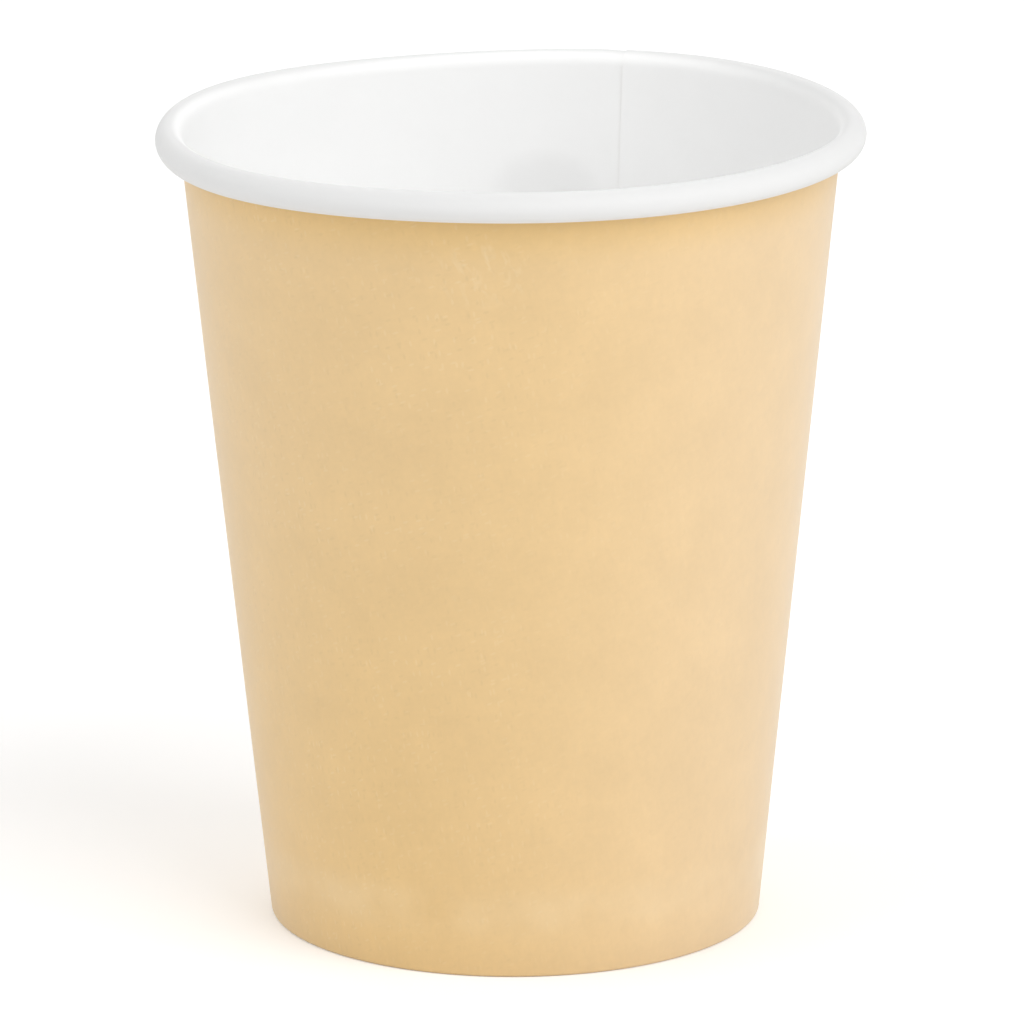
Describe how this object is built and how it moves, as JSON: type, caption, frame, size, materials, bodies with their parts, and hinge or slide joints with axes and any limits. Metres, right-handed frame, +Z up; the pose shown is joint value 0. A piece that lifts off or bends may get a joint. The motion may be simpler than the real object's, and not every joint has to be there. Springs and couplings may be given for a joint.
{
  "type": "paper coffee cup",
  "caption": "Single-wall paper cup for hot drinks: a tapered lapped-seam sidewall with a rolled rim and a turned-in hem, and a flanged base disc.",
  "frame": {"origin": "on the cup's axis, in the plane that its foot rests on", "axes": "+Z up along the cup's axis, from the foot to the rim; the side seam lies on the +Y side, 69 degrees from +X"},
  "size_m": [0.08, 0.08, 0.092],
  "materials": {
    "brown_board": "plain brown print outside, white coated inside",
    "white_board": "white coated"
  },
  "bodies": {
    "root": {"sidewall": "brown_board", "base_disc": "white_board"}
  },
  "joints": []
}
